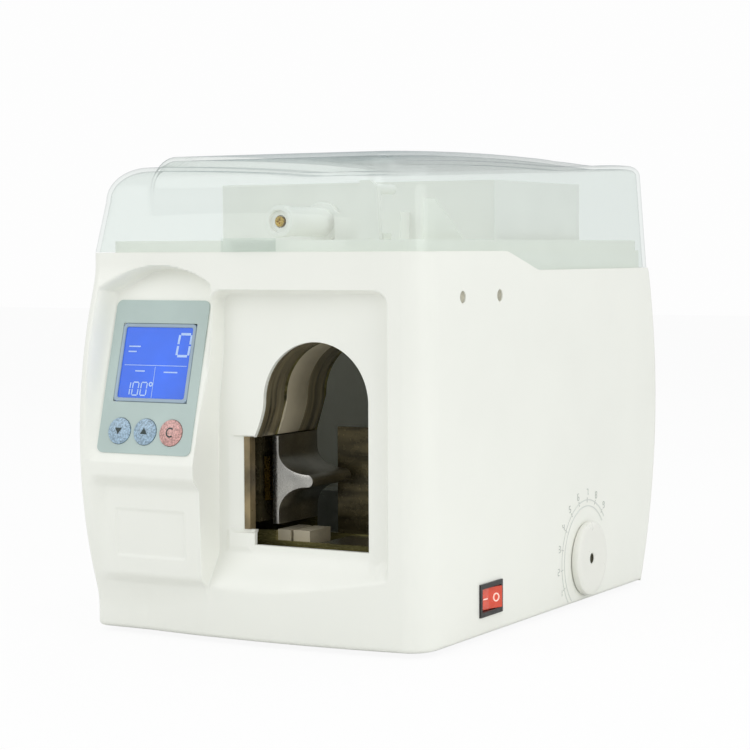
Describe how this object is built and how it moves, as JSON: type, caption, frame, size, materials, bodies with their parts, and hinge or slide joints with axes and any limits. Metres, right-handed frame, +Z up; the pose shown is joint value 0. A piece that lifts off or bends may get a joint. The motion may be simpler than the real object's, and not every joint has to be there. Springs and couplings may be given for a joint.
{
  "type": "banknote strapping machine",
  "caption": "Countertop machine that bands a stack of banknotes with paper tape: clear hinged lid, sloping display console, arched note bay, side depth dial.",
  "frame": {"origin": "centre of the bounding box, at the soles of the rubber feet", "axes": "+X to the right of the operator, +Y from the operator to the rear, +Z up"},
  "size_m": [0.2354, 0.3808, 0.291],
  "materials": {
    "body_shell": "satin moulded plastic, warm white",
    "deck": "satin moulded plastic, white",
    "steel_pan": "zinc plated sheet",
    "rubber_black": "matt",
    "screw_zinc": "zinc plated",
    "clear": "clear polycarbonate, polished",
    "overlay": "textured film, pale grey green",
    "lcd_bezel": "matt grey teal",
    "lcd_glass": "backlit blue display",
    "board_green": "solder mask",
    "button_blue": "domed key, grey blue",
    "button_red": "domed key, soft red",
    "switch_black": "moulded black",
    "rocker_red": "translucent red, lit",
    "steel_polished": "polished",
    "steel_brushed": "ground",
    "cream": "moulded cream",
    "brass": "satin",
    "frame_steel": "zinc plated plate",
    "gear_nylon": "moulded nylon",
    "motor_can": "black oxide",
    "roller_rubber": "ground rubber",
    "white_plastic": "moulded white",
    "teal_plate": "painted teal",
    "stop_metal": "painted dark grey",
    "dial_white": "satin moulded plastic",
    "supply_box": "folded sheet"
  },
  "bodies": {
    "body": {"housing_shell": "body_shell", "rear_cover": "body_shell", "rear_screws": "screw_zinc", "base_pan": "steel_pan", "rubber_feet": "rubber_black", "top_deck": "deck", "side_screws": "screw_zinc", "reel_box": "white_plastic", "hinge_pins": "steel_brushed", "console_overlay": "overlay", "lcd_frame": "lcd_bezel", "lcd_module": "lcd_glass", "console_board": "board_green", "switch_body": "switch_black", "power_inlet": "switch_black", "inlet_pins": "brass", "frame_front": "frame_steel", "frame_rear": "frame_steel", "frame_spacers": "steel_brushed", "arch_guide_front": "steel_polished", "tape_channel": "cream", "arch_guide_rear": "steel_polished", "notch_guard": "cream", "press_guide": "stop_metal", "anvil_block": "steel_brushed", "drive_motor": "motor_can", "feed_motor": "motor_can", "pinch_pivot": "steel_brushed", "guide_roller_pin": "steel_brushed", "lower_guide": "cream", "note_rest": "steel_brushed", "side_plate": "teal_plate", "reel_stud": "steel_brushed", "spindle_screw": "brass", "tape_guide": "white_plastic", "guide_rod": "steel_brushed", "rod_bracket": "frame_steel", "power_supply": "supply_box", "main_board": "board_green"},
    "lid": {"clear_lid": "clear"},
    "key_down": {"button_down": "button_blue"},
    "key_up": {"button_up": "button_blue"},
    "key_clear": {"button_clear": "button_red"},
    "rocker": {"switch_rocker": "rocker_red"},
    "dial": {"dial_knob": "dial_white", "dial_shaft": "steel_brushed"},
    "stop_carriage": {"depth_stop": "stop_metal"},
    "cam_spindle": {"cam_shaft": "steel_brushed", "cams": "steel_brushed", "drive_gear": "gear_nylon"},
    "pinion": {"motor_pinion": "brass"},
    "press": {"press_bar": "brass"},
    "cutter": {"cutter_bar": "steel_brushed"},
    "feed_spindle": {"feed_shaft": "steel_brushed", "feed_roller": "roller_rubber"},
    "pinch_arm": {"pinch_lever": "frame_steel"},
    "pinch_wheel": {"pinch_roller": "roller_rubber"},
    "idler": {"guide_roller": "white_plastic"},
    "reel": {"reel_hub": "white_plastic"},
    "tension": {"tension_arm": "white_plastic"}
  },
  "joints": [
    {"name": "lid_hinge", "type": "hinge", "parent": "body", "child": "lid", "pos_m": [-0.00275, 0.1696, 0.2252], "axis": [-1, 0, 0], "range_deg": [0, 90]},
    {"name": "key_down_press", "type": "slide", "parent": "body", "child": "key_down", "axis": [0, 0.9668, -0.2554], "range_m": [0, 0.0008], "stiffness_N_per_m": 500},
    {"name": "key_up_press", "type": "slide", "parent": "body", "child": "key_up", "axis": [0, 0.9668, -0.2554], "range_m": [0, 0.0008], "stiffness_N_per_m": 500},
    {"name": "key_clear_press", "type": "slide", "parent": "body", "child": "key_clear", "axis": [0, 0.9668, -0.2554], "range_m": [0, 0.0008], "stiffness_N_per_m": 500},
    {"name": "rocker_tilt", "type": "hinge", "parent": "body", "child": "rocker", "pos_m": [0.10975, -0.084, 0.0245], "axis": [0, 0, 1], "range_deg": [0, 20]},
    {"name": "dial_turn", "type": "hinge", "parent": "body", "child": "dial", "pos_m": [-0.00275, 0.059, 0.031], "axis": [-1, 0, 0], "range_deg": [0, 210]},
    {"name": "stop_slide", "type": "slide", "parent": "body", "child": "stop_carriage", "axis": [0, 1, 0], "range_m": [0, 0.04398]},
    {"name": "cam_spin", "type": "hinge", "parent": "body", "child": "cam_spindle", "pos_m": [-0.06475, 0.003, 0.096], "axis": [0, 1, 0], "continuous": true},
    {"name": "pinion_spin", "type": "hinge", "parent": "body", "child": "pinion", "pos_m": [-0.06475, 0.003, 0.06], "axis": [0, 1, 0], "continuous": true},
    {"name": "press_slide", "type": "slide", "parent": "body", "child": "press", "axis": [1, 0, 0], "range_m": [0, 0.0035], "stiffness_N_per_m": 800},
    {"name": "cutter_slide", "type": "slide", "parent": "body", "child": "cutter", "axis": [1, 0, 0], "range_m": [0, 0.0035], "stiffness_N_per_m": 800},
    {"name": "feed_spin", "type": "hinge", "parent": "body", "child": "feed_spindle", "pos_m": [-0.04275, 0.003, 0.187], "axis": [0, 1, 0], "continuous": true},
    {"name": "pinch_swing", "type": "hinge", "parent": "body", "child": "pinch_arm", "pos_m": [-0.06305, 0.003, 0.161], "axis": [0, -1, 0], "range_deg": [0, 12], "stiffness_Nm_per_rad": 0.5, "springref_deg": -5.73},
    {"name": "pinch_spin", "type": "hinge", "parent": "pinch_arm", "child": "pinch_wheel", "pos_m": [-0.06305, 0.003, 0.187], "axis": [0, 1, 0], "continuous": true},
    {"name": "idler_spin", "type": "hinge", "parent": "body", "child": "idler", "pos_m": [-0.02275, 0.003, 0.202], "axis": [0, 1, 0], "continuous": true},
    {"name": "reel_spin", "type": "hinge", "parent": "body", "child": "reel", "pos_m": [-0.02475, 0.003, 0.253], "axis": [0, 1, 0], "continuous": true},
    {"name": "tension_swing", "type": "hinge", "parent": "body", "child": "tension", "pos_m": [0.04725, 0.003, 0.239], "axis": [0, -1, 0], "range_deg": [0, 25], "stiffness_Nm_per_rad": 0.3, "springref_deg": -11.46}
  ],
  "couplings": [
    {"joint": "dial_turn", "follows": "stop_slide", "rad_per_m": 83.333},
    {"joint": "pinion_spin", "follows": "cam_spin", "ratio": -5}
  ]
}
